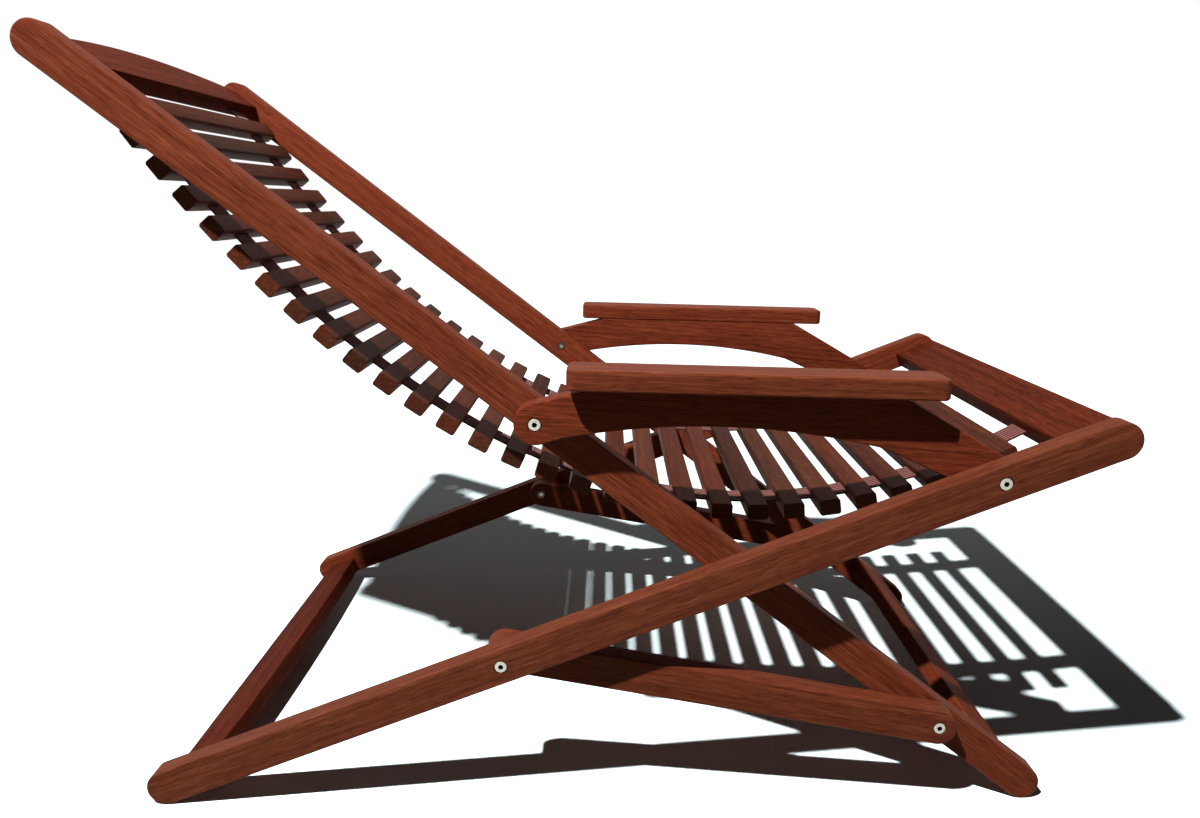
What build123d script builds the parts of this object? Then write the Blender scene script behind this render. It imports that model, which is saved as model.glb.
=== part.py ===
from build123d import *
import math
import os

os.makedirs("parts", exist_ok=True)

# A folding lounge armchair in hardwood. Two straight frames cross like scissors: the seat frame rises to
# the front, the back frame rises to the rear. On each side an arm above and a strut below link the two
# frames, and a sling of slats threaded on two webbing straps hangs between the crest and the front board.
# X is the sitter's forward direction, Y the sitter's left and Z up. The origin is on the ground, at the
# middle of the chair's overall length and width.

# Rails and the three layers in which they lie on each side
overall_width = 650
rail_height = 38
rail_thickness = 26
rail_arris = 1.4
layer_gap = 2

# Seat frame: its rails run from the rear foot up to the front
seat_rail_centres = 1054.1
seat_slope_deg = 22.95

# Back frame: its rails run from the front foot up to the rear
back_rail_centres = 1293.8
back_slope_deg = 36.33
foot_spread = 941.7

# Pivots, measured along the rails from the middle of each foot's round end
strut_pivot_on_seat = 391.8
arm_pivot_on_seat = 934.3
arm_pivot_on_back = 683.7
strut_pivot_on_back = 136.0

# Arm brackets and armrest boards
arm_round = 21.5
arm_rear_rise_deg = 15.5
arm_front_fall_deg = 28.9
arm_arris = 1.3
board_length = 376
board_width = 54
board_thickness = 21
board_corner = 9
board_arris = 1.9
board_rise = 41
board_set_forward = 32
arch_rear_share = 0.063
arch_middle_share = 0.408
arch_front_share = 0.755
arm_depth_rear = 54
arm_depth_middle = 38
arm_depth_front = 56

# Cross members between the rails
bar_arris = 1.4
crest_thickness = 21
crest_start = 1257.5
crest_end_width = 39.5
crest_top = 6.5
crest_arch = 25
foot_bar_thickness = 19
foot_bar_start = 38
foot_bar_width = 47
rear_bar_thickness = 21
rear_bar_start = 4.5
rear_bar_end_width = 43
rear_bar_top = 6
rear_bar_arch = 7
front_board_thickness = 21
front_board_start = 1011
front_board_width = 63
front_board_top = 4.5
tenon_length = 16
tenon_shoulder = 6
tenon_glue_gap = 0.1

# Sling: slats with two slots each, threaded on two straps
back_slat_count = 15
lumbar_slat_count = 6
seat_slat_count = 8
slat_pitch = 39.7
slat_side_gap = 12
slat_width = 23
slat_thickness = 17.5
slat_arris = 1.9
first_slat = 17.4
strap_length = 1168.2
strap_width = 38
strap_thickness = 2
strap_inset = 60
strap_anchor_depth = 24
strap_lead = 19
strap_clearance = 0.3
strap_side_clearance = 0.5
crest_slot_below_face = 14
front_slot_below_face = 12.5
strap_break_gap = 0.4

# Pivot bolts with barrel nuts, the washers between the layers, and the dowels under the armrests
bolt_head_diameter = 13
bolt_head_thickness = 2.8
bolt_head_arris = 0.7
bolt_diameter = 6
bolt_recess_diameter = 15
bolt_recess_depth = 3.2
socket_across_flats = 5
socket_depth = 1.9
barrel_diameter = 9
barrel_head_diameter = 11.5
barrel_recess_diameter = 12.6
nut_head_thickness = 1.8
nut_recess_depth = 2
running_clearance = 0.06
washer_diameter = 20
washer_clearance = 0.05
dowel_diameter = 8
dowel_length = 30
dowel_glue_gap = 0.05
dowel_shares = (0.22, 0.78)

# One overrun carries every cut clear of the face that it opens
overrun = 5

half_height = rail_height / 2
outer_face = overall_width / 2
seat_layer = (outer_face - rail_thickness, outer_face)
link_layer = (seat_layer[0] - layer_gap - rail_thickness, seat_layer[0] - layer_gap)
back_layer = (link_layer[0] - layer_gap - rail_thickness, link_layer[0] - layer_gap)
slat_half_length = back_layer[0] - slat_side_gap
strap_side_distance = slat_half_length - strap_inset
sides = {"left": 1, "right": -1}


def heading(degrees):
    """Unit vector in the side view, X forward and Y up."""
    return Vector(math.cos(math.radians(degrees)), math.sin(math.radians(degrees)))


# Side-view frames of the two rails: along each rail, and square to it on the sitter's side
seat_along = heading(seat_slope_deg)
seat_up = heading(seat_slope_deg + 90)
back_along = heading(180 - back_slope_deg)
back_up = heading(90 - back_slope_deg)

# The ground span of the rails sets the origin at the middle of the overall length
crown_back = foot_spread + back_rail_centres * back_along.X
crest_reach = crest_start + crest_end_width + crest_arch
crest_crown = back_along * crest_reach + back_up * (crest_top - crest_thickness)
seat_tip = seat_rail_centres * seat_along.X
rear_end = min(-half_height, crown_back - half_height, foot_spread + crest_crown.X)
nose_along = front_board_start + front_board_width
nose_up = front_board_top - front_board_thickness
board_nose = seat_along * nose_along + seat_up * nose_up
front_end = max(seat_tip + half_height, foot_spread + half_height, board_nose.X)
middle = (rear_end + front_end) / 2
seat_foot = Vector(-middle, half_height)
back_foot = Vector(foot_spread - middle, half_height)


def on_seat(along, up=0):
    return seat_foot + seat_along * along + seat_up * up


def on_back(along, up=0):
    return back_foot + back_along * along + back_up * up


strut_low = on_back(strut_pivot_on_back)
strut_high = on_seat(strut_pivot_on_seat)
arm_rear = on_back(arm_pivot_on_back)
arm_front = on_seat(arm_pivot_on_seat)


def side_span(layer, side):
    """The layer's lower and higher Y on one side of the chair."""
    return sorted((layer[0] * side, layer[1] * side))


def slab(outline, layer, side):
    """Extrude a side-view outline through one layer."""
    low, high = side_span(layer, side)
    return extrude(Plane.XZ.offset(-high) * outline, high - low)


def face_edges(solid, layer, side):
    """The edges of a slab that lie on its two broad faces."""
    return [e for y in side_span(layer, side) for e in solid.edges().filter_by_position(Axis.Y, y, y)]


def straight_link(start, end, layer, side, arris):
    """A bar with full round ends centred on two points of the side view."""
    run = end - start
    mid = (start + end) * 0.5
    angle = math.degrees(math.atan2(run.Y, run.X))
    outline = Pos(mid.X, mid.Y) * Rot(0, 0, angle) * SlotCenterToCenter(run.length, rail_height)
    bar = slab(outline, layer, side)
    return chamfer(face_edges(bar, layer, side), arris)


def rod(point, diameter, y_from, y_to):
    """A cylinder along Y about a point of the side view."""
    low, high = sorted((y_from, y_to))
    return extrude(Plane.XZ.offset(-high) * Pos(point.X, point.Y) * Circle(diameter / 2), high - low)


def pivot_bore(point, layer, side):
    """The clear bore that a barrel turns in, through one layer."""
    return rod(
        point,
        barrel_diameter + 2 * running_clearance,
        side * (layer[0] - overrun),
        side * (layer[1] + overrun),
    )


def head_recess(point, layer, side):
    """The round recess of a bolt head in a layer's outer face."""
    floor = layer[1] - bolt_recess_depth
    return rod(point, bolt_recess_diameter, side * floor, side * (layer[1] + overrun))


def nut_recess(point, layer, side):
    """The round recess of a barrel nut's head in a layer's inner face."""
    floor = layer[0] + nut_recess_depth
    return rod(point, barrel_recess_diameter, side * (layer[0] - overrun), side * floor)


def board_plane(place, along, up, height):
    """A plane parallel to a frame's rails, with local X along the rails."""
    origin = place(0, height)
    return Plane(
        origin=(origin.X, 0, origin.Y),
        x_dir=(along.X, 0, along.Y),
        z_dir=(up.X, 0, up.Y),
    )


def block(plane, along_from, along_to, y_middle, width, height):
    """A rectangular block on a plane, between two places along it."""
    length = along_to - along_from
    return extrude(
        plane * Pos(along_from + length / 2, y_middle) * Rectangle(length, width),
        height,
    )


def edge_line(along, half_span, arch):
    """One long edge of a cross member: straight, or bowed by the given height."""
    if arch == 0:
        return Line((along, -half_span), (along, half_span))
    return ThreePointArc((along, -half_span), (along + arch, 0), (along, half_span))


def cross_member(plane, half_span, start, width, thickness, arch=0):
    """A board between two rails with stub tenons on its ends; its plane is the board's underside."""
    low = edge_line(start, half_span, 0)
    high = edge_line(start + width, half_span, arch)
    caps = [Line(low @ 0, high @ 0), Line(low @ 1, high @ 1)]
    board = extrude(plane * make_face([low, high] + caps), thickness)
    long_edges = [e for e in board.edges() if abs((e @ 0).Y - (e @ 1).Y) > half_span]
    board = chamfer(long_edges, bar_arris)
    tenon_plane = plane.offset(tenon_shoulder)
    tenon = block(
        tenon_plane,
        start + tenon_shoulder,
        start + width - tenon_shoulder,
        0,
        2 * (half_span + tenon_length),
        thickness - 2 * tenon_shoulder,
    )
    return board + tenon


def mortises(plane, half_span, start, width, thickness):
    """The pockets in the rails that take a cross member's tenons, with their glue gap."""
    pocket = block(
        plane.offset(tenon_shoulder - tenon_glue_gap),
        start + tenon_shoulder - tenon_glue_gap,
        start + width - tenon_shoulder + tenon_glue_gap,
        0,
        2 * (half_span + tenon_length + tenon_glue_gap),
        thickness - 2 * (tenon_shoulder - tenon_glue_gap),
    )
    return pocket


# Cross members: each one's plane, half span, start, width and thickness along its frame
seat_half_span = seat_layer[0]
back_half_span = back_layer[0]
crest_plane = board_plane(on_back, back_along, back_up, crest_top - crest_thickness)
foot_bar_plane = board_plane(on_back, back_along, back_up, half_height - foot_bar_thickness)
rear_bar_plane = board_plane(on_seat, seat_along, seat_up, rear_bar_top - rear_bar_thickness)
front_board_plane = board_plane(on_seat, seat_along, seat_up, front_board_top - front_board_thickness)
crest_spec = (crest_plane, back_half_span, crest_start, crest_end_width, crest_thickness)
foot_bar_spec = (foot_bar_plane, back_half_span, foot_bar_start, foot_bar_width, foot_bar_thickness)
rear_bar_spec = (rear_bar_plane, seat_half_span, rear_bar_start, rear_bar_end_width, rear_bar_thickness)
front_board_spec = (
    front_board_plane,
    seat_half_span,
    front_board_start,
    front_board_width,
    front_board_thickness,
)


# The sling's line: a strap of known length that hangs between its two slots as a catenary
crest_slot_up = crest_top - crest_slot_below_face
front_slot_up = front_board_top - front_slot_below_face
strap_top = on_back(crest_start - strap_lead, crest_slot_up)
strap_end = on_seat(front_board_start, front_slot_up)


# The catenary's half run over its scale is looked for between these two values, to this precision
curve_search = (0.001, 10)
curve_precision = 1e-12


def hanging_curve(start, end, length):
    """The catenary of a given length between two points: returns a point and slope finder."""
    run = end.X - start.X
    fall = end.Y - start.Y
    stretch = math.sqrt(length**2 - fall**2) / run
    low, high = curve_search
    while high - low > curve_precision:
        guess = (low + high) / 2
        if math.sinh(guess) / guess < stretch:
            low = guess
        else:
            high = guess
    scale = run / (2 * guess)
    bottom_x = (start.X + end.X) / 2 - scale * math.atanh(fall / length)
    bottom_y = start.Y - scale * math.cosh((start.X - bottom_x) / scale)
    start_arc = scale * math.sinh((start.X - bottom_x) / scale)

    def at(arc):
        steepness = (start_arc + arc) / scale
        point = Vector(
            bottom_x + scale * math.asinh(steepness),
            bottom_y + scale * math.sqrt(1 + steepness**2),
        )
        return point, math.degrees(math.atan(steepness))

    return at


sling_at = hanging_curve(strap_top, strap_end, strap_length)

# Slats are counted from the crest: the lumbar run of the sling and the seat's run begin at these
lumbar_first = back_slat_count + 1
seat_first = lumbar_first + lumbar_slat_count
slat_count = back_slat_count + lumbar_slat_count + seat_slat_count


def slat_arc(number):
    """Arc length along the strap to the middle of a slat, counted from 1 at the crest."""
    return first_slat + (number - 1) * slat_pitch


def make_slat(number):
    """One slat: a batten with broken arrises across the sling, with a slot for each strap."""
    centre, slope = sling_at(slat_arc(number))
    blank = Rectangle(slat_width, slat_thickness)
    section = Pos(centre.X, centre.Y) * Rot(0, 0, slope) * chamfer(blank.vertices(), slat_arris)
    batten = extrude(Plane.XZ.offset(-slat_half_length) * section, 2 * slat_half_length)
    slot_height = strap_thickness + 2 * strap_clearance
    slot_section = Pos(centre.X, centre.Y) * Rot(0, 0, slope) * Rectangle(slat_width + overrun, slot_height)
    slot_width = strap_width + 2 * strap_side_clearance
    for side in sides.values():
        top = side * strap_side_distance + slot_width / 2
        batten -= extrude(Plane.XZ.offset(-top) * slot_section, slot_width)
    return batten


def strap_stations(first, last):
    """Middle line of the strap through a run of slats: straight in each slot, bent in the gaps."""
    stations = []
    for number in range(first, last + 1):
        centre, slope = sling_at(slat_arc(number))
        reach = heading(slope) * (slat_width / 2)
        stations += [(centre - reach, slope), (centre + reach, slope)]
    return stations


def gap_middle(number):
    """The strap's middle point and slope in the gap before a slat."""
    return sling_at(slat_arc(number) - slat_pitch / 2)


def strap_run(stations, side):
    """A webbing strap of even thickness along a list of points and slopes."""
    half = strap_thickness / 2
    upper = [point + heading(slope + 90) * half for point, slope in stations]
    lower = [point - heading(slope + 90) * half for point, slope in stations]
    outline = [(p.X, p.Y) for p in upper + lower[::-1]]
    face = make_face(Polyline(*outline, close=True))
    top = side * strap_side_distance + strap_width / 2
    return extrude(Plane.XZ.offset(-top) * face, strap_width)


def broken_end(number, direction):
    """A strap's end in the gap before a slat, held back from the next run by half the break."""
    point, slope = gap_middle(number)
    return point + heading(slope) * (direction * strap_break_gap / 2), slope


def strap_slot(plane, along_from, along_to, side):
    """A slot across a board's edge for one strap's end; the plane is the slot's lower face."""
    return block(
        plane,
        along_from,
        along_to,
        side * strap_side_distance,
        strap_width + 2 * strap_side_clearance,
        strap_thickness + 2 * strap_clearance,
    )


def make_crest():
    crest = cross_member(*crest_spec, arch=crest_arch)
    slot_bottom = crest_slot_up - strap_thickness / 2 - strap_clearance
    plane = board_plane(on_back, back_along, back_up, slot_bottom)
    slot_end = crest_start + strap_anchor_depth + strap_clearance
    for side in sides.values():
        crest -= strap_slot(plane, crest_start - overrun, slot_end, side)
    return crest


def make_front_board():
    board = cross_member(*front_board_spec)
    slot_bottom = front_slot_up - strap_thickness / 2 - strap_clearance
    plane = board_plane(on_seat, seat_along, seat_up, slot_bottom)
    slot_end = front_board_start + strap_anchor_depth + strap_clearance
    for side in sides.values():
        board -= strap_slot(plane, front_board_start - overrun, slot_end, side)
    return board


def make_seat_rail(side):
    rail = straight_link(on_seat(0), on_seat(seat_rail_centres), seat_layer, side, rail_arris)
    for pivot in (strut_high, arm_front):
        rail -= pivot_bore(pivot, seat_layer, side) + head_recess(pivot, seat_layer, side)
    return rail - mortises(*rear_bar_spec) - mortises(*front_board_spec)


def make_back_rail(side):
    rail = straight_link(on_back(0), on_back(back_rail_centres), back_layer, side, rail_arris)
    for pivot in (strut_low, arm_rear):
        rail -= pivot_bore(pivot, back_layer, side) + nut_recess(pivot, back_layer, side)
    return rail - mortises(*crest_spec) - mortises(*foot_bar_spec)


def make_strut(side):
    strut = straight_link(strut_low, strut_high, link_layer, side, rail_arris)
    strut -= pivot_bore(strut_low, link_layer, side) + head_recess(strut_low, link_layer, side)
    strut -= pivot_bore(strut_high, link_layer, side) + nut_recess(strut_high, link_layer, side)
    return strut


# The armrest board lies level above the two arm pivots
board_rear = arm_rear.X + board_set_forward
board_underside = arm_rear.Y + board_rise
board_y = link_layer[0] + board_width / 2


def arm_outline():
    """Side view of an arm: round ends on the pivots, a level top under the board, an arched underside."""
    rear_top = arm_rear + heading(90 + arm_rear_rise_deg) * arm_round
    rear_rise = (board_underside - rear_top.Y) / math.tan(math.radians(arm_rear_rise_deg))
    front_top = arm_front + heading(90 - arm_front_fall_deg) * arm_round
    front_fall = (board_underside - front_top.Y) / math.tan(math.radians(arm_front_fall_deg))
    pivot_run = arm_front.X - arm_rear.X
    arch_rear = Vector(arm_rear.X + arch_rear_share * pivot_run, board_underside - arm_depth_rear)
    arch_middle = Vector(arm_rear.X + arch_middle_share * pivot_run, board_underside - arm_depth_middle)
    arch_front = Vector(arm_rear.X + arch_front_share * pivot_run, board_underside - arm_depth_front)
    rear_low = tangent_point(arm_rear, arch_rear, 1)
    front_low = tangent_point(arm_front, arch_front, -1)
    edges = [
        Line(rear_top, (rear_top.X + rear_rise, board_underside)),
        Line((rear_top.X + rear_rise, board_underside), (front_top.X - front_fall, board_underside)),
        Line((front_top.X - front_fall, board_underside), front_top),
        ThreePointArc(front_top, arm_front + heading(0) * arm_round, front_low),
        Line(front_low, arch_front),
        ThreePointArc(arch_front, arch_middle, arch_rear),
        Line(arch_rear, rear_low),
        ThreePointArc(rear_low, arm_rear + heading(180) * arm_round, rear_top),
    ]
    return make_face(edges)


def tangent_point(centre, outside, turn):
    """Where a line from an outside point touches an arm's round end, on the lower side."""
    reach = outside - centre
    bearing = math.degrees(math.atan2(reach.Y, reach.X))
    opening = math.degrees(math.acos(arm_round / reach.length))
    return centre + heading(bearing - turn * opening) * arm_round


# A dowel stands further down in the arm than up in the board, so its middle lies below the joint
dowel_in_board = board_thickness / 2
dowel_rise = dowel_in_board - dowel_length / 2


def dowel_places():
    return [board_rear + share * board_length for share in dowel_shares]


def dowel_hole(x, side):
    middle_y = side * (link_layer[0] + link_layer[1]) / 2
    height = dowel_length + 2 * dowel_glue_gap
    hole = Cylinder(dowel_diameter / 2 + dowel_glue_gap, height)
    return Pos(x, middle_y, board_underside + dowel_rise) * hole


def make_arm(side):
    arm = slab(arm_outline(), link_layer, side)
    level = [e for e in face_edges(arm, link_layer, side) if (e @ 0.5).Z < board_underside - arm_arris]
    arm = chamfer(level, arm_arris)
    arm -= pivot_bore(arm_rear, link_layer, side) + head_recess(arm_rear, link_layer, side)
    arm -= pivot_bore(arm_front, link_layer, side) + nut_recess(arm_front, link_layer, side)
    for x in dowel_places():
        arm -= dowel_hole(x, side)
    return arm


def make_armrest(side):
    centre = (board_rear + board_length / 2, side * board_y, board_underside + board_thickness / 2)
    board = Pos(*centre) * Box(board_length, board_width, board_thickness)
    board = fillet(board.edges().filter_by(Axis.Z), board_corner)
    rims = board.edges().group_by(Axis.Z)
    board = chamfer(rims[0] + rims[-1], board_arris)
    for x in dowel_places():
        board -= dowel_hole(x, side)
    return board


def make_dowels(side):
    middle_y = side * (link_layer[0] + link_layer[1]) / 2
    peg = Cylinder(dowel_diameter / 2, dowel_length)
    return [Pos(x, middle_y, board_underside + dowel_rise) * peg for x in dowel_places()]


def make_bolt(point, layer, side, tip):
    """A pivot bolt: a round head with a hexagon socket in the layer's outer face and a plain shank."""
    seat = layer[1] - bolt_recess_depth
    crown = seat + bolt_head_thickness
    bolt = rod(point, bolt_head_diameter, side * seat, side * crown)
    rim = bolt.edges().filter_by_position(Axis.Y, side * crown, side * crown)
    bolt = chamfer(rim, bolt_head_arris)
    bolt += rod(point, bolt_diameter, side * tip, side * seat)
    socket = Pos(point.X, point.Y) * RegularPolygon(socket_across_flats / 2, 6, major_radius=False)
    low, high = sorted((side * (crown - socket_depth), side * (crown + overrun)))
    return bolt - extrude(Plane.XZ.offset(-high) * socket, high - low)


def make_barrel(point, layer, side, reach):
    """A barrel nut: a sleeve round the bolt's shank with a flat head in the layer's inner face."""
    seat = layer[0] + nut_recess_depth
    crown = seat - nut_head_thickness
    nut = rod(point, barrel_head_diameter, side * crown, side * seat)
    nut += rod(point, barrel_diameter, side * seat, side * reach)
    bore = bolt_diameter + 2 * running_clearance
    return nut - rod(point, bore, side * (crown - overrun), side * (reach + overrun))


def make_washer(point, outer_layer, side):
    """A washer in the gap on the inner side of a layer."""
    near = outer_layer[0] - washer_clearance
    far = outer_layer[0] - layer_gap + washer_clearance
    ring = rod(point, washer_diameter, side * near, side * far)
    bore = barrel_diameter + 2 * running_clearance
    return ring - rod(point, bore, side * (near + overrun), side * (far - overrun))


def through_bolt(point, outer_layer, inner_layer, side):
    """The bolt and barrel of a pivot through two layers."""
    tip = inner_layer[0] + nut_recess_depth
    reach = outer_layer[1] - bolt_recess_depth
    return make_bolt(point, outer_layer, side, tip), make_barrel(point, inner_layer, side, reach)


def write(name, shapes):
    solids = shapes if isinstance(shapes, list) else [shapes]
    whole = solids[0] if len(solids) == 1 else Compound(children=solids)
    export_step(whole, f"parts/{name}.step")


# Frames, struts and arms
for name, side in sides.items():
    write(f"seat_rail_{name}", make_seat_rail(side))
    write(f"back_rail_{name}", make_back_rail(side))
    write(f"strut_{name}", make_strut(side))
    write(f"arm_{name}", make_arm(side))
    write(f"armrest_{name}", make_armrest(side))
    write(f"armrest_dowels_{name}", make_dowels(side))

write("crest_rail", make_crest())
write("front_foot_bar", cross_member(*foot_bar_spec))
write("rear_foot_bar", cross_member(*rear_bar_spec, arch=rear_bar_arch))
write("front_board", make_front_board())

# Slats, and the straps in three runs: on the back frame, across the lumbar bend and on the seat frame
for number in range(1, slat_count + 1):
    write(f"slat_{number:02d}", make_slat(number))

crest_end = on_back(crest_start + strap_anchor_depth, crest_slot_up)
board_end = on_seat(front_board_start + strap_anchor_depth, front_slot_up)
back_run = [(crest_end, -back_slope_deg), (strap_top, -back_slope_deg)]
back_run += strap_stations(1, back_slat_count) + [broken_end(lumbar_first, -1)]
lumbar_run = [broken_end(lumbar_first, 1)]
lumbar_run += strap_stations(lumbar_first, seat_first - 1) + [broken_end(seat_first, -1)]
seat_run = [broken_end(seat_first, 1)] + strap_stations(seat_first, slat_count)
seat_run += [(strap_end, seat_slope_deg), (board_end, seat_slope_deg)]
write("back_straps", [strap_run(back_run, side) for side in sides.values()])
write("lumbar_straps", [strap_run(lumbar_run, side) for side in sides.values()])
write("seat_straps", [strap_run(seat_run, side) for side in sides.values()])

# Pivots on the seat rails: bolt, barrel and washer pass through rail and link
seat_bolts = []
seat_barrels = []
seat_washers = []
for side in sides.values():
    for point in (strut_high, arm_front):
        bolt, barrel = through_bolt(point, seat_layer, link_layer, side)
        seat_bolts.append(bolt)
        seat_barrels.append(barrel)
        seat_washers.append(make_washer(point, seat_layer, side))
write("seat_pivot_bolts", seat_bolts)
write("seat_pivot_barrels", seat_barrels)
write("seat_pivot_washers", seat_washers)

# Upper pivots on the back rails: bolt, barrel and washer pass through arm and rail
arm_bolts = []
arm_barrels = []
arm_washers = []
for side in sides.values():
    bolt, barrel = through_bolt(arm_rear, link_layer, back_layer, side)
    arm_bolts.append(bolt)
    arm_barrels.append(barrel)
    arm_washers.append(make_washer(arm_rear, link_layer, side))
write("arm_pivot_bolts", arm_bolts)
write("arm_pivot_barrels", arm_barrels)
write("arm_pivot_washers", arm_washers)

# Lower pivots on the back rails: the bolt ends in the strut and the barrel in the rail
strut_barrels = []
for name, side in sides.items():
    write(f"strut_pivot_bolt_{name}", make_bolt(strut_low, link_layer, side, link_layer[0]))
    write(f"strut_pivot_washer_{name}", make_washer(strut_low, link_layer, side))
    strut_barrels.append(make_barrel(strut_low, back_layer, side, back_layer[1]))
write("strut_pivot_barrels", strut_barrels)
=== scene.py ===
import bpy
import bisect
import bmesh
import math
import random
from mathutils import Matrix, Vector


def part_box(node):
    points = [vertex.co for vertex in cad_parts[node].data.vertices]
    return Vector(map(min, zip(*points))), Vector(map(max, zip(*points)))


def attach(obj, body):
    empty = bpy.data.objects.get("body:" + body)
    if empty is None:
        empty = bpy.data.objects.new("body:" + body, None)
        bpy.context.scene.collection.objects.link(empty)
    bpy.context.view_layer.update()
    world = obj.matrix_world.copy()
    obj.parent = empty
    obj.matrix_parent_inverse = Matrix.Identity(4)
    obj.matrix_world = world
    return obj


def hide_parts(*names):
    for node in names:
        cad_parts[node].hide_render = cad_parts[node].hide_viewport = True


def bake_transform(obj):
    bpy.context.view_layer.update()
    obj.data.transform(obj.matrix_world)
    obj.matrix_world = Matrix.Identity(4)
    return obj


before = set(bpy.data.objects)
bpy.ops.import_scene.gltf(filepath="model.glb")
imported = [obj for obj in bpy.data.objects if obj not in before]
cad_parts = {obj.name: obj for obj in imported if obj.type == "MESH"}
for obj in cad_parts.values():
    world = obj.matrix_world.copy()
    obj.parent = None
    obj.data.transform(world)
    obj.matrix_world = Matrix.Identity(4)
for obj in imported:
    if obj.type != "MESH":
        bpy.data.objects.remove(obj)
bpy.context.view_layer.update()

# Seat frame rails. Two straight bars of reddish hardwood, sawn and planed with rounded arrises and
# full round ends, finished with oil. They run from the rear feet up to the front of the seat, and
# their grain follows the slope.
oiled_light = (170, 89, 57)
oiled_middle = (132, 59, 36)
oiled_dark = (79, 30, 16)
# The brown palette gives the slats their browner tones; on the near (right) pieces it is partly
# their own tone and partly a painted sheen.
brown_light = (132, 84, 60)
brown_middle = (92, 54, 38)
brown_dark = (50, 26, 18)
pore_colour = (34, 12, 7)
streak_width = 0.011
line_width = 0.0028
fibre_width = 0.0011
pore_width = 0.0007
ring_width = 0.006
ring_wander = 5
ring_detail = 2
ring_detail_scale = 0.6
wave_node_factor = 20
grain_stretch = 26
mark_roughness = 0.6
mark_low = 0.3
mark_high = 0.7
streak_depth = (-0.06, 0.1)
line_depth = (-0.1, 0.1)
fibre_depth = (0.28, 0.72)
ring_depth = (-0.05, 0.05)
pore_edge = (0.57, 0.68)
pore_depth = 0.62
pore_relief = 0.35
pore_hollow = 0.0003
wood_gloss = 0.04
wood_roughness = (0.52, 0.66)
crease_angle = math.radians(55)
weld_reach = 0.00001
flat_face_weight = 100
across_chair = math.pi / 2
seat_slope = math.radians(22.95)
chance = random.Random(29)


def shade(colour):
    """Linear RGBA of a colour that is written as it looks, 0 to 255."""
    def channel(value):
        value = value / 255
        return value / 12.92 if value <= 0.04045 else ((value + 0.055) / 1.055) ** 2.4
    return tuple(channel(value) for value in colour) + (1,)


def between(first, second, share):
    """A colour part of the way from one to another."""
    return tuple(a + (b - a) * share for a, b in zip(first, second))


def join(tree, source, output, target, socket):
    tree.links.new(source.outputs[output], target.inputs[socket])


def noise_of(tree, coordinates, width, detail):
    """A noise whose marks have the given width across the grain."""
    noise = tree.nodes.new("ShaderNodeTexNoise")
    noise.inputs["Scale"].default_value = 1 / width
    noise.inputs["Detail"].default_value = detail
    noise.inputs["Roughness"].default_value = mark_roughness
    join(tree, coordinates, "Vector", noise, "Vector")
    return noise


def spread(tree, source, output, low, high, to_low, to_high):
    """Stretch a part of a value's range over another range."""
    node = tree.nodes.new("ShaderNodeMapRange")
    node.inputs["From Min"].default_value = low
    node.inputs["From Max"].default_value = high
    node.inputs["To Min"].default_value = to_low
    node.inputs["To Max"].default_value = to_high
    join(tree, source, output, node, "Value")
    return node


def reckon(tree, operation, second=None):
    """A step of arithmetic, with its second number where that comes from no link."""
    node = tree.nodes.new("ShaderNodeMath")
    node.operation = operation
    if second is not None:
        node.inputs[1].default_value = second
    return node


def total(tree, first, second):
    node = reckon(tree, "ADD")
    join(tree, first, 0, node, 0)
    join(tree, second, 0, node, 1)
    return node


def colours_of(tree, source, output, dark, light, middle=None):
    """Colours from dark to light that follow a value, by way of a middle one."""
    colours = tree.nodes.new("ShaderNodeValToRGB")
    ramp = colours.color_ramp.elements
    ramp[0].color = shade(dark)
    ramp[1].color = shade(light)
    if middle:
        ramp.new(0.5).color = shade(middle)
    join(tree, source, output, colours, "Fac")
    return colours


def relief_on(shader, tree, source, output, strength, height):
    """Fine relief in a finish, which follows a value."""
    relief = tree.nodes.new("ShaderNodeBump")
    relief.inputs["Strength"].default_value = strength
    relief.inputs["Distance"].default_value = height
    join(tree, source, output, relief, "Height")
    join(tree, relief, "Normal", shader, "Normal")
    return relief


def new_finish(name):
    """A new finish, with its nodes and its shader."""
    finish = bpy.data.materials.new(name)
    finish.use_nodes = True
    return finish, finish.node_tree, finish.node_tree.nodes["Principled BSDF"]


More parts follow.
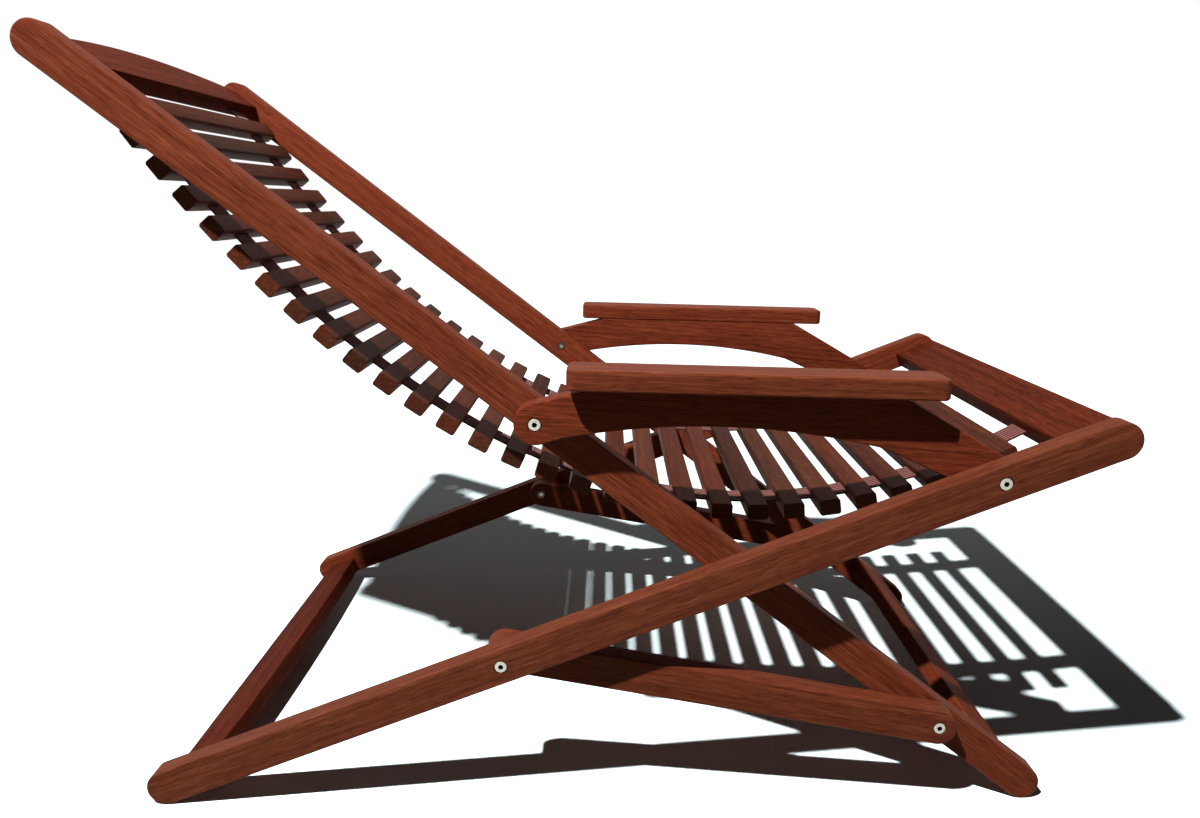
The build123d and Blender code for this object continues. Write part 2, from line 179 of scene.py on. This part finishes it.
def hardwood(name, pith, turn, tone=0.0, brown=0.0, gloss=wood_gloss):
    """Oiled hardwood: its grain runs along the turned X axis, its rings lie round the pith."""
    wood, tree, shader = new_finish(name)
    place = tree.nodes.new("ShaderNodeTexCoord")
    turned = tree.nodes.new("ShaderNodeMapping")
    turned.vector_type = "TEXTURE"
    turned.inputs["Location"].default_value = pith
    turned.inputs["Rotation"].default_value = turn
    turned.inputs["Scale"].default_value = (grain_stretch, 1, 1)
    join(tree, place, "Object", turned, "Vector")

    streaks = noise_of(tree, turned, streak_width, 3)
    lines = noise_of(tree, turned, line_width, 1)
    fibres = noise_of(tree, turned, fibre_width, 2)
    pores = noise_of(tree, turned, pore_width, 1)
    rings = tree.nodes.new("ShaderNodeTexWave")
    rings.wave_type = "RINGS"
    rings.rings_direction = "X"
    rings.inputs["Scale"].default_value = 2 * math.pi / wave_node_factor / ring_width
    rings.inputs["Distortion"].default_value = ring_wander
    rings.inputs["Detail"].default_value = ring_detail
    rings.inputs["Detail Scale"].default_value = ring_detail_scale
    join(tree, turned, "Vector", rings, "Vector")

    toned_streaks = (streak_depth[0] + tone, streak_depth[1] + tone)
    broad = spread(tree, streaks, "Fac", mark_low, mark_high, *toned_streaks)
    drawn = spread(tree, lines, "Fac", mark_low, mark_high, *line_depth)
    fine = spread(tree, fibres, "Fac", mark_low, mark_high, *fibre_depth)
    banding = spread(tree, rings, "Fac", 0, 1, *ring_depth)
    depth = total(tree, total(tree, broad, drawn), total(tree, fine, banding))
    colours = colours_of(
        tree, depth, 0,
        between(oiled_dark, brown_dark, brown),
        between(oiled_light, brown_light, brown),
        between(oiled_middle, brown_middle, brown),
    )

    open_pores = spread(tree, pores, "Fac", *pore_edge, 0, pore_depth)
    specked = tree.nodes.new("ShaderNodeMix")
    specked.data_type = "RGBA"
    specked.inputs["B"].default_value = shade(pore_colour)
    join(tree, open_pores, 0, specked, "Factor")
    join(tree, colours, "Color", specked, "A")
    join(tree, specked, "Result", shader, "Base Color")

    polish = spread(tree, fibres, "Fac", mark_low, mark_high, *wood_roughness)
    join(tree, polish, 0, shader, "Roughness")
    shader.inputs["Specular IOR Level"].default_value = gloss
    hollows = relief_on(shader, tree, open_pores, 0, pore_relief, pore_hollow)
    hollows.invert = True
    return wood


def dress(node, finish, arris=0.0):
    """Give a CAD piece its finish: flat faces stay flat, arrises and round ends look round."""
    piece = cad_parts[node]
    for face in piece.data.polygons:
        face.use_smooth = True
    weld = piece.modifiers.new("weld", "WELD")
    weld.merge_threshold = weld_reach
    if arris:
        ends = piece.modifiers.new("arrises", "BEVEL")
        ends.width = arris
        ends.segments = 2
        ends.limit_method = "ANGLE"
        ends.angle_limit = crease_angle
    split = piece.modifiers.new("creases", "EDGE_SPLIT")
    split.split_angle = crease_angle
    flat = piece.modifiers.new("flat_faces", "WEIGHTED_NORMAL")
    flat.weight = flat_face_weight
    piece.data.materials.clear()
    piece.data.materials.append(finish)


def pith_beside(node, aside, below):
    """A place outside a piece's middle for the pith that its rings lie round."""
    low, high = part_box(node)
    middle = [(a + b) / 2 for a, b in zip(low, high)]
    return (middle[0], middle[1] + aside, middle[2] - below)


seat_pith_left = pith_beside("seat_rail_left", aside=0.05, below=0.09)
seat_pith_right = pith_beside("seat_rail_right", aside=0.08, below=0.07)
seat_grain = (0, -seat_slope, 0)
dress("seat_rail_left", hardwood("seat_rail_wood_left", seat_pith_left, seat_grain, tone=-0.02))
# The near (right) seat rail mixes in the brown palette: partly its own tone, partly a painted
# sheen.
dress("seat_rail_right", hardwood("seat_rail_wood_right", seat_pith_right, seat_grain,
                                  tone=0.02, brown=0.4))

# Back frame rails. Two longer bars of the same wood and section, set inside the seat rails. They
# run from the front feet up to the top of the back, so their grain slopes the other way.
back_slope = math.radians(36.33)
back_pith_left = pith_beside("back_rail_left", aside=-0.09, below=0.06)
back_pith_right = pith_beside("back_rail_right", aside=0.07, below=0.1)
back_grain = (0, back_slope, 0)
dress("back_rail_left", hardwood("back_rail_wood_left", back_pith_left, back_grain))
# The near (right) back rail mixes in a little of the brown palette: partly its own tone, partly a
# painted sheen.
dress("back_rail_right", hardwood("back_rail_wood_right", back_pith_right, back_grain, brown=0.15))

# Struts. Two short bars that link the frames below the seat, one on each side between the rails,
# bolted at both ends so that they turn when the chair is folded.
strut_slope = math.radians(8.71)
strut_pith_left = pith_beside("strut_left", aside=0.06, below=0.08)
strut_pith_right = pith_beside("strut_right", aside=0.1, below=0.05)
strut_grain = (0, strut_slope, 0)
dress("strut_left", hardwood("strut_wood_left", strut_pith_left, strut_grain, tone=-0.08))
# The near (right) strut mixes in the brown palette: partly its own tone, partly a painted sheen.
dress("strut_right", hardwood("strut_wood_right", strut_pith_right, strut_grain, brown=0.3))

# Cross members. The crest rail and the front foot bar join the back rails, the rear foot bar and
# the front board join the seat rails. They are tenoned and glued into the rails, with their grain
# across the chair, and the crest rail and the rear foot bar are bowed.
member_gloss = 0.01
for node, tilt, below, tone in (
    ("crest_rail", back_slope, 0.07, -0.3),
    ("front_foot_bar", back_slope, 0.09, -0.06),
    ("rear_foot_bar", -seat_slope, 0.06, -0.44),
    ("front_board", -seat_slope, 0.1, -0.36),
):
    pith = pith_beside(node, aside=0, below=below)
    dress(node, hardwood(f"{node}_wood", pith, (tilt, 0, across_chair),
                         tone=tone, gloss=member_gloss))

# Arms. A bracket sawn in an arch from one board links the frames above the seat on each side, and a
# flat armrest board is pegged to its level top with two dowels that stay hidden in the wood.
arm_slope = math.radians(3)
# Painted shade: the arm brackets are made darker than the armrests, standing in for the armrests'
# shadow on them.
arm_painted_shade_below_armrest = 0.12
upright = (0, math.pi / 2, 0)
# On the near (right) side the armrest mixes in the brown palette: partly its own tone, partly a
# painted sheen.
for side, tone, brown in (("left", -0.02, 0.0), ("right", 0.0, 0.25)):
    arm_pith = pith_beside(f"arm_{side}", aside=0.06, below=0.09)
    shaded_arm_tone = tone - arm_painted_shade_below_armrest
    dress(f"arm_{side}", hardwood(f"shaded_arm_wood_{side}", arm_pith, (0, arm_slope, 0), tone=shaded_arm_tone))
    armrest_pith = pith_beside(f"armrest_{side}", aside=0.02, below=0.08)
    armrest_wood = hardwood(f"armrest_wood_{side}", armrest_pith, (0, 0, 0), tone=tone, brown=brown)
    dress(f"armrest_{side}", armrest_wood)
    dowel_pith = pith_beside(f"armrest_dowels_{side}", aside=0, below=0.03)
    dowel_wood = hardwood(f"dowel_wood_{side}", dowel_pith, upright, tone=0.3, brown=0.4)
    dress(f"armrest_dowels_{side}", dowel_wood)

# Slats of the sling. Twenty-nine rounded battens cut from odd lengths of the same wood, so that
# their tone changes from one to the next, each with a slot near both ends for the straps.
slat_count = 29
slat_arris = 0.0008
slat_pith_aside = (-0.03, 0.03)
slat_pith_below = (0.03, 0.09)
slat_tones = (-0.4, -0.1)
slat_browns = (0.3, 0.95)
slat_middles = []
for number in range(1, slat_count + 1):
    node = f"slat_{number:02d}"
    low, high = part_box(node)
    slat_middles.append(Vector(((low[0] + high[0]) / 2, 0, (low[2] + high[2]) / 2)))
    wood = hardwood(
        f"slat_wood_{number:02d}",
        pith_beside(node, chance.uniform(*slat_pith_aside), chance.uniform(*slat_pith_below)),
        (0, 0, across_chair),
        tone=chance.uniform(*slat_tones),
        brown=chance.uniform(*slat_browns),
    )
    dress(node, wood, arris=slat_arris)

# Straps. Two bands woven from seven cords pass through the slats' slots and are glued in slots of
# the crest rail and the front board. Each is in two lengths that meet behind slat 15 and part there
# when the chair folds. The real front length bends at the hinge between slats 21 and 22; here it is
# one fixed band.
strap_width = 0.038
strap_body = 0.0016
rib_height = 0.0002
rib_count = 7
rib_facets = 6
strap_step = 0.004
strap_side = 0.171
slat_half_width = 0.0115
crest_slot_end = Vector((-0.5269, 0, 0.77216))
crest_slot_mouth = Vector((-0.50756, 0, 0.75794))
hang_start = Vector((-0.49225, 0, 0.74669))
board_slot_mouth = Vector((0.50234, 0, 0.40585))
board_slot_end = Vector((0.52444, 0, 0.41521))
weave_length = 0.0016
cord_edge = (0.26, 0.48)
weave_depth = (-0.16, 0.16)
fading_scale = 400
fading_depth = (-0.15, 0.15)
webbing_roughness = 0.85
webbing_gloss = 0.2
webbing_sheen = 0.3
webbing_relief = 0.6
webbing_hollow = 0.0004
webbing_pink = (232, 166, 148)
webbing_red = (124, 42, 38)
webbing_dark = (70, 17, 16)


def strap_way(first, last):
    """The strap's middle line through a run of slats, with its direction in each slot."""
    way = []
    for number in range(first, last + 1):
        middle = slat_middles[number - 1]
        before = slat_middles[number - 2] if number > 1 else hang_start
        after = slat_middles[number] if number < slat_count else board_slot_mouth
        reach = (after - before).normalized() * slat_half_width
        way += [middle - reach, middle, middle + reach]
    return way


def finely(way):
    """Points along a way, close enough to bend."""
    points = [way[0]]
    for start, end in zip(way, way[1:]):
        parts = max(1, round((end - start).length / strap_step))
        points += [start.lerp(end, part / parts) for part in range(1, parts + 1)]
    return points


def webbing_band(name, way):
    """A ribbed band along a way, made once and copied to the other side of the chair."""
    points = finely(way)
    rows = rib_count * rib_facets
    lengths = [0.0]
    for start, end in zip(points, points[1:]):
        lengths.append(lengths[-1] + (end - start).length)
    forward = [point.x for point in points]
    mesh = bmesh.new()
    bmesh.ops.create_grid(mesh, x_segments=len(points) - 1, y_segments=rows, size=0.5)
    for vert in mesh.verts:
        step = round((vert.co.x + 0.5) * (len(points) - 1))
        vert.co = points[step] + Vector((0, vert.co.y * strap_width, 0))
    bmesh.ops.recalc_face_normals(mesh, faces=mesh.faces)
    for vert in mesh.verts:
        vert.normal_update()
    for vert in mesh.verts:
        vert.co += vert.normal * (strap_body / 2)
    bmesh.ops.solidify(mesh, geom=mesh.faces[:], thickness=strap_body)
    bmesh.ops.recalc_face_normals(mesh, faces=mesh.faces)
    mesh.normal_update()
    for vert in mesh.verts:
        across = (vert.co.y / strap_width + 0.5) * rib_count
        vert.co += vert.normal * (rib_height * abs(math.sin(math.pi * across)))
    threads = mesh.loops.layers.uv.new("threads")
    for face in mesh.faces:
        for loop in face.loops:
            place = loop.vert.co
            step = min(max(bisect.bisect(forward, place.x), 1), len(points) - 1)
            share = (place.x - forward[step - 1]) / (forward[step] - forward[step - 1])
            arc = lengths[step - 1] + (lengths[step] - lengths[step - 1]) * share
            loop[threads].uv = (arc, place.y / strap_width + 0.5)
    bmesh.ops.translate(mesh, verts=mesh.verts, vec=(0, strap_side, 0))
    copy = bmesh.ops.duplicate(mesh, geom=mesh.verts[:] + mesh.edges[:] + mesh.faces[:])
    twins = [item for item in copy["geom"] if isinstance(item, bmesh.types.BMVert)]
    bmesh.ops.translate(mesh, verts=twins, vec=(0, -2 * strap_side, 0))
    data = bpy.data.meshes.new(name)
    mesh.to_mesh(data)
    mesh.free()
    for face in data.polygons:
        face.use_smooth = True
    band = bpy.data.objects.new(name, data)
    bpy.context.scene.collection.objects.link(band)
    band.data.materials.append(webbing)
    return band


webbing, tree, shader = new_finish("ribbed_webbing")
threads = tree.nodes.new("ShaderNodeUVMap")
threads.uv_map = "threads"
apart = tree.nodes.new("ShaderNodeSeparateXYZ")
join(tree, threads, "UV", apart, "Vector")
cords = reckon(tree, "MULTIPLY", rib_count)
join(tree, apart, "Y", cords, 0)
cord_place = reckon(tree, "PINGPONG", 0.5)
join(tree, cords, 0, cord_place, 0)
cord_crown = spread(tree, cord_place, "Value", *cord_edge, 0, 1)
picks = reckon(tree, "MULTIPLY", 2 * math.pi / weave_length)
join(tree, apart, "X", picks, 0)
pick_wave = reckon(tree, "SINE")
join(tree, picks, 0, pick_wave, 0)
weave = spread(tree, pick_wave, "Value", -1, 1, *weave_depth)
fading = tree.nodes.new("ShaderNodeTexNoise")
fading.inputs["Scale"].default_value = fading_scale
fading_share = spread(tree, fading, "Fac", mark_low, mark_high, *fading_depth)
cord_tone = total(tree, total(tree, cord_crown, weave), fading_share)
cord_colours = colours_of(tree, cord_tone, 0, webbing_dark, webbing_pink, webbing_red)
join(tree, cord_colours, "Color", shader, "Base Color")
shader.inputs["Roughness"].default_value = webbing_roughness
shader.inputs["Specular IOR Level"].default_value = webbing_gloss
shader.inputs["Sheen Weight"].default_value = webbing_sheen
relief_on(shader, tree, cord_tone, 0, webbing_relief, webbing_hollow)

lumbar_first_slat = 16
back_end = (slat_middles[lumbar_first_slat - 2] + slat_middles[lumbar_first_slat - 1]) / 2
crest_way = [crest_slot_end, crest_slot_mouth, hang_start]
back_band = webbing_band(
    "strap_webbing_back",
    crest_way + strap_way(1, lumbar_first_slat - 1) + [back_end],
)
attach(back_band, "back_frame")
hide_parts("back_straps")
seat_band = webbing_band(
    "strap_webbing_seat",
    [back_end] + strap_way(lumbar_first_slat, slat_count) + [board_slot_mouth, board_slot_end],
)
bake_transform(seat_band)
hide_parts("lumbar_straps", "seat_straps")

# Pivots. Stainless bolts with a hexagon socket sink into the outer faces, barrel nuts with flat
# heads close them on the inner faces, and a thin washer keeps the bars apart at each pivot.
steel_colour = (214, 204, 190)
steel_worn = (172, 162, 148)
# Painted shade: the barrel nuts on the inner faces sit in shade, so their steel is painted darker.
shaded_steel_colour = (92, 84, 74)
shaded_steel_marks = (58, 52, 46)
# Colours of the painted shade inside the hexagon sockets.
socket_shade_colour = (30, 26, 22)
socket_shade_deep = (16, 14, 12)
scratch_width = 0.0004
scratch_detail = 3
scratch_relief = 0.1
scratch_depth = 0.0001
duller_marks = 0.08
brighter_marks = 0.06
socket_shade_reach = 0.00295
pivot_places = (
    Vector((-0.07096, 0.17177)),
    Vector((0.42859, 0.38331)),
    Vector((-0.04085, 0.42405)),
    Vector((0.40038, 0.09957)),
)


def turned_steel(name, roughness, worn=steel_worn, colour=steel_colour, metal=0.35):
    """Turned stainless steel with fine marks and a slightly uneven polish."""
    steel, tree, shader = new_finish(name)
    place = tree.nodes.new("ShaderNodeTexCoord")
    marks = tree.nodes.new("ShaderNodeTexNoise")
    marks.inputs["Scale"].default_value = 1 / scratch_width
    marks.inputs["Detail"].default_value = scratch_detail
    join(tree, place, "Object", marks, "Vector")
    colours = colours_of(tree, marks, "Fac", worn, colour)
    join(tree, colours, "Color", shader, "Base Color")
    uneven = (roughness - brighter_marks, roughness + duller_marks)
    polish = spread(tree, marks, "Fac", mark_low, mark_high, *uneven)
    join(tree, polish, 0, shader, "Roughness")
    shader.inputs["Metallic"].default_value = metal
    shader.inputs["Specular IOR Level"].default_value = metal
    relief_on(shader, tree, marks, "Fac", scratch_relief, scratch_depth)
    return steel


def paint_socket_shade(node, painted_shade):
    """Paint shade into the hexagon sockets of a piece's bolts, as a dark material on their faces.
    """
    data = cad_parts[node].data
    data.materials.append(painted_shade)
    for face in data.polygons:
        corners = [data.vertices[index].co for index in face.vertices]
        nearest = min(
            max((Vector((corner.x, corner.z)) - pivot).length for corner in corners)
            for pivot in pivot_places
        )
        if nearest < socket_shade_reach:
            face.material_index = 1


bright_steel = turned_steel("bright_steel", 0.4)
# Painted shade: the faces inside the sockets get a very dark steel.
socket_painted_shade = turned_steel("socket_painted_shade", 0.7, socket_shade_deep, socket_shade_colour, 0.0)
for node in (
    "seat_pivot_bolts",
    "arm_pivot_bolts",
    "strut_pivot_bolt_left",
    "strut_pivot_bolt_right",
):
    dress(node, bright_steel)
    paint_socket_shade(node, socket_painted_shade)
# The barrel nuts take the darker steel as painted shade.
shaded_steel = turned_steel("shaded_steel", 0.45, shaded_steel_marks, shaded_steel_colour, 0.3)
for node in ("seat_pivot_barrels", "arm_pivot_barrels", "strut_pivot_barrels"):
    dress(node, shaded_steel)
dull_steel = turned_steel("dull_steel", 0.42)
for node in ("seat_pivot_washers", "arm_pivot_washers"):
    dress(node, dull_steel)
for side in ("left", "right"):
    dress(f"strut_pivot_washer_{side}", dull_steel)

# Floor. A pale level floor that takes the chair's shadow and looks white where the lamp reaches it,
# with a white studio beyond it. Inside the shadow the floor has a painted glow, faint on the
# camera's side and stronger towards the back, so the shadow is deepest on the camera's side.
floor_reach = 8.0
floor_squares = 8
shadow_radius = 1.1
white_radius = 1.8
floor_paint = 0.14
floor_paint_seen = 2.4
floor_coolness = (0.84, 0.98, 1.0)
shadow_glow_near = 0.001
shadow_glow_far = 0.056
shadow_far_place = 0.8
mesh = bmesh.new()
bmesh.ops.create_grid(mesh, x_segments=floor_squares, y_segments=floor_squares, size=floor_reach)
floor_data = bpy.data.meshes.new("studio_floor")
mesh.to_mesh(floor_data)
mesh.free()
floor = bpy.data.objects.new("studio_floor", floor_data)
bpy.context.scene.collection.objects.link(floor)


def seen_directly(tree):
    """1 for rays that show the background or its reflection, 0 for light that falls on things."""
    path = tree.nodes.new("ShaderNodeLightPath")
    first = reckon(tree, "MAXIMUM")
    join(tree, path, "Is Camera Ray", first, 0)
    join(tree, path, "Is Glossy Ray", first, 1)
    second = reckon(tree, "MAXIMUM")
    join(tree, first, 0, second, 0)
    join(tree, path, "Is Transmission Ray", second, 1)
    return second


floor_finish, tree, shader = new_finish("studio_floor_paint")
tree.nodes.remove(shader)
floor_output = tree.nodes["Material Output"]
matt = tree.nodes.new("ShaderNodeBsdfDiffuse")
seen = seen_directly(tree)
paint = spread(tree, seen, "Value", 0, 1, floor_paint, floor_paint_seen)
cooled = tree.nodes.new("ShaderNodeVectorMath")
cooled.operation = "SCALE"
cooled.inputs[0].default_value = floor_coolness
join(tree, paint, 0, cooled, "Scale")
join(tree, cooled, 0, matt, "Color")
place = tree.nodes.new("ShaderNodeTexCoord")
away = tree.nodes.new("ShaderNodeVectorMath")
away.operation = "LENGTH"
join(tree, place, "Object", away, 0)
across = tree.nodes.new("ShaderNodeSeparateXYZ")
join(tree, place, "Object", across, "Vector")
# Painted light: within the shadow radius the floor glows at a level that rises from the camera's
# side to the back.
shadow_glow_level = spread(tree, across, "Y", 0, shadow_far_place, shadow_glow_near, shadow_glow_far)
glow_share = spread(tree, away, "Value", shadow_radius, white_radius, 0, 1)
join(tree, shadow_glow_level, 0, glow_share, "To Min")
glow_strength = reckon(tree, "MULTIPLY")
join(tree, glow_share, 0, glow_strength, 0)
join(tree, seen, 0, glow_strength, 1)
glow = tree.nodes.new("ShaderNodeEmission")
join(tree, glow_strength, 0, glow, "Strength")
both = tree.nodes.new("ShaderNodeAddShader")
join(tree, matt, "BSDF", both, 0)
join(tree, glow, "Emission", both, 1)
join(tree, both, "Shader", floor_output, "Surface")
floor.data.materials.append(floor_finish)

# Studio light. One lamp high up behind the camera's left shoulder draws the shadow, and the white
# room gives a low fill.
fill_level = 0.008
world = bpy.data.worlds.new("studio")
bpy.context.scene.world = world
world.use_nodes = True
tree = world.node_tree
room = tree.nodes["Background"]
room.inputs["Color"].default_value = (1, 1, 1, 1)
room_level = spread(tree, seen_directly(tree), "Value", 0, 1, fill_level, 1.0)
join(tree, room_level, 0, room, "Strength")

lamp_place = Vector((-1.117, -1.939, 3.33))
lamp_aim = Vector((0.1, 0.1, 0.3))
lamp_size = 0.1
lamp_power = 170
lamp_data = bpy.data.lights.new("key_lamp", "AREA")
lamp_data.shape = "DISK"
lamp_data.size = lamp_size
lamp_data.energy = lamp_power
lamp = bpy.data.objects.new("key_lamp", lamp_data)
lamp.location = lamp_place
lamp.rotation_euler = (lamp_aim - lamp_place).to_track_quat("-Z", "Y").to_euler()
bpy.context.scene.collection.objects.link(lamp)

# Camera. Near the chair's right side and a little above the armrests, tilted down, with a slight
# roll.
camera_place = Vector((0.0295, -1.2347, 0.6465))
camera_pitch = math.radians(12.27)
camera_yaw = math.radians(0.275)
camera_roll = math.radians(1.477)
lens_length = 28.67
film_width = 36
nearest_seen = 0.01
camera_data = bpy.data.cameras.new("camera")
camera_data.lens = lens_length
camera_data.sensor_width = film_width
camera_data.clip_start = nearest_seen
camera = bpy.data.objects.new("camera", camera_data)
turn = (
    Matrix.Rotation(camera_yaw, 4, "Z")
    @ Matrix.Rotation(math.pi / 2 - camera_pitch, 4, "X")
    @ Matrix.Rotation(camera_roll, 4, "Z")
)
camera.matrix_world = Matrix.Translation(camera_place) @ turn
bpy.context.scene.collection.objects.link(camera)
bpy.context.scene.camera = camera
bpy.context.scene.view_settings.view_transform = "Standard"
